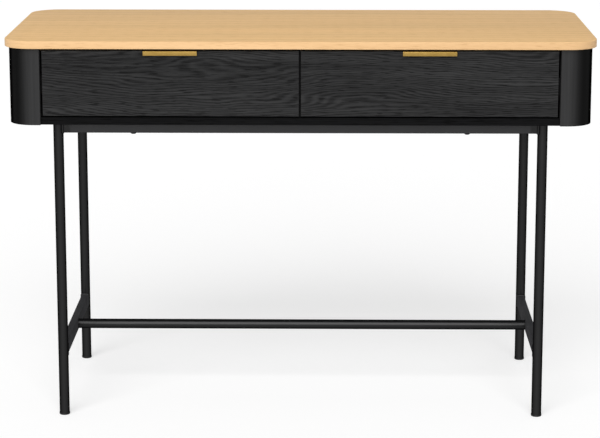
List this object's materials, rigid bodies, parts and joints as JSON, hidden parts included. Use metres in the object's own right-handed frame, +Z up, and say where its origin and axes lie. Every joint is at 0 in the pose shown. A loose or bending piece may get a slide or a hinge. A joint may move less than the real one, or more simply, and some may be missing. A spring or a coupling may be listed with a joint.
{
  "type": "writing desk with drawers",
  "caption": "Writing desk: a light wood top on a black case with rounded ends and drawers with edge pulls, on a slim steel tube frame with a low stretcher.",
  "frame": {"origin": "on the floor under the middle of the desk", "axes": "+X to the right of someone sitting at the desk, +Y from the sitter towards the back, +Z up; the drawers open towards -Y"},
  "size_m": [1.15, 0.5, 0.76],
  "materials": {
    "oak_veneer": "clear matt lacquer on light oak veneer",
    "black_oak": "black-stained open-pored oak veneer, matt lacquer",
    "black_board": "black-stained smooth board, matt lacquer",
    "drawer_board": "black melamine-faced board, matt",
    "black_steel": "black powder coat, satin, fine texture",
    "brass": "brushed brass, lacquered, satin",
    "zinc_steel": "bright zinc plated steel",
    "slide_steel": "black electrophoretic coat on rolled steel, satin",
    "black_plastic": "moulded black plastic, matt"
  },
  "bodies": {
    "desk": {"back_panel": "black_board", "case_floor": "black_board", "case_screws": "zinc_steel", "centre_divider": "black_board", "frame_bolts": "black_steel", "front_left_foot": "black_plastic", "front_left_leg": "black_steel", "front_rail": "black_board", "front_right_foot": "black_plastic", "front_right_leg": "black_steel", "front_top_bar": "black_steel", "insert_nuts": "zinc_steel", "left_brace": "black_steel", "left_cabinet_rails": "slide_steel", "left_end_shell": "black_board", "left_inner_side": "black_board", "left_top_bar": "black_steel", "rear_left_foot": "black_plastic", "rear_left_leg": "black_steel", "rear_rail": "black_board", "rear_right_foot": "black_plastic", "rear_right_leg": "black_steel", "rear_top_bar": "black_steel", "right_brace": "black_steel", "right_cabinet_rails": "slide_steel", "right_end_shell": "black_board", "right_inner_side": "black_board", "right_top_bar": "black_steel", "stretcher": "black_steel", "stretcher_bolts": "black_steel", "stretcher_plugs": "black_plastic", "tabletop": "oak_veneer", "top_screws": "zinc_steel"},
    "left_drawer": {"left_back_screws": "zinc_steel", "left_cam_bolts": "zinc_steel", "left_cam_discs": "zinc_steel", "left_drawer_back": "drawer_board", "left_drawer_bottom": "drawer_board", "left_drawer_front": "black_oak", "left_drawer_left_side": "drawer_board", "left_drawer_rails": "slide_steel", "left_drawer_right_side": "drawer_board", "left_pull": "brass", "left_pull_screws": "zinc_steel"},
    "right_drawer": {"right_back_screws": "zinc_steel", "right_cam_bolts": "zinc_steel", "right_cam_discs": "zinc_steel", "right_drawer_back": "drawer_board", "right_drawer_bottom": "drawer_board", "right_drawer_front": "black_oak", "right_drawer_left_side": "drawer_board", "right_drawer_rails": "slide_steel", "right_drawer_right_side": "drawer_board", "right_pull": "brass", "right_pull_screws": "zinc_steel"},
    "left_slide_middle": {"left_middle_rails": "slide_steel"},
    "right_slide_middle": {"right_middle_rails": "slide_steel"}
  },
  "joints": [
    {"name": "left_drawer_slide", "type": "slide", "parent": "desk", "child": "left_drawer", "axis": [0, -1, 0], "range_m": [0, 0.38]},
    {"name": "right_drawer_slide", "type": "slide", "parent": "desk", "child": "right_drawer", "axis": [0, -1, 0], "range_m": [0, 0.38]},
    {"name": "left_middle_slide", "type": "slide", "parent": "desk", "child": "left_slide_middle", "axis": [0, -1, 0], "range_m": [0, 0.19]},
    {"name": "right_middle_slide", "type": "slide", "parent": "desk", "child": "right_slide_middle", "axis": [0, -1, 0], "range_m": [0, 0.19]}
  ],
  "couplings": [
    {"joint": "left_middle_slide", "follows": "left_drawer_slide", "ratio": 0.5},
    {"joint": "right_middle_slide", "follows": "right_drawer_slide", "ratio": 0.5}
  ]
}
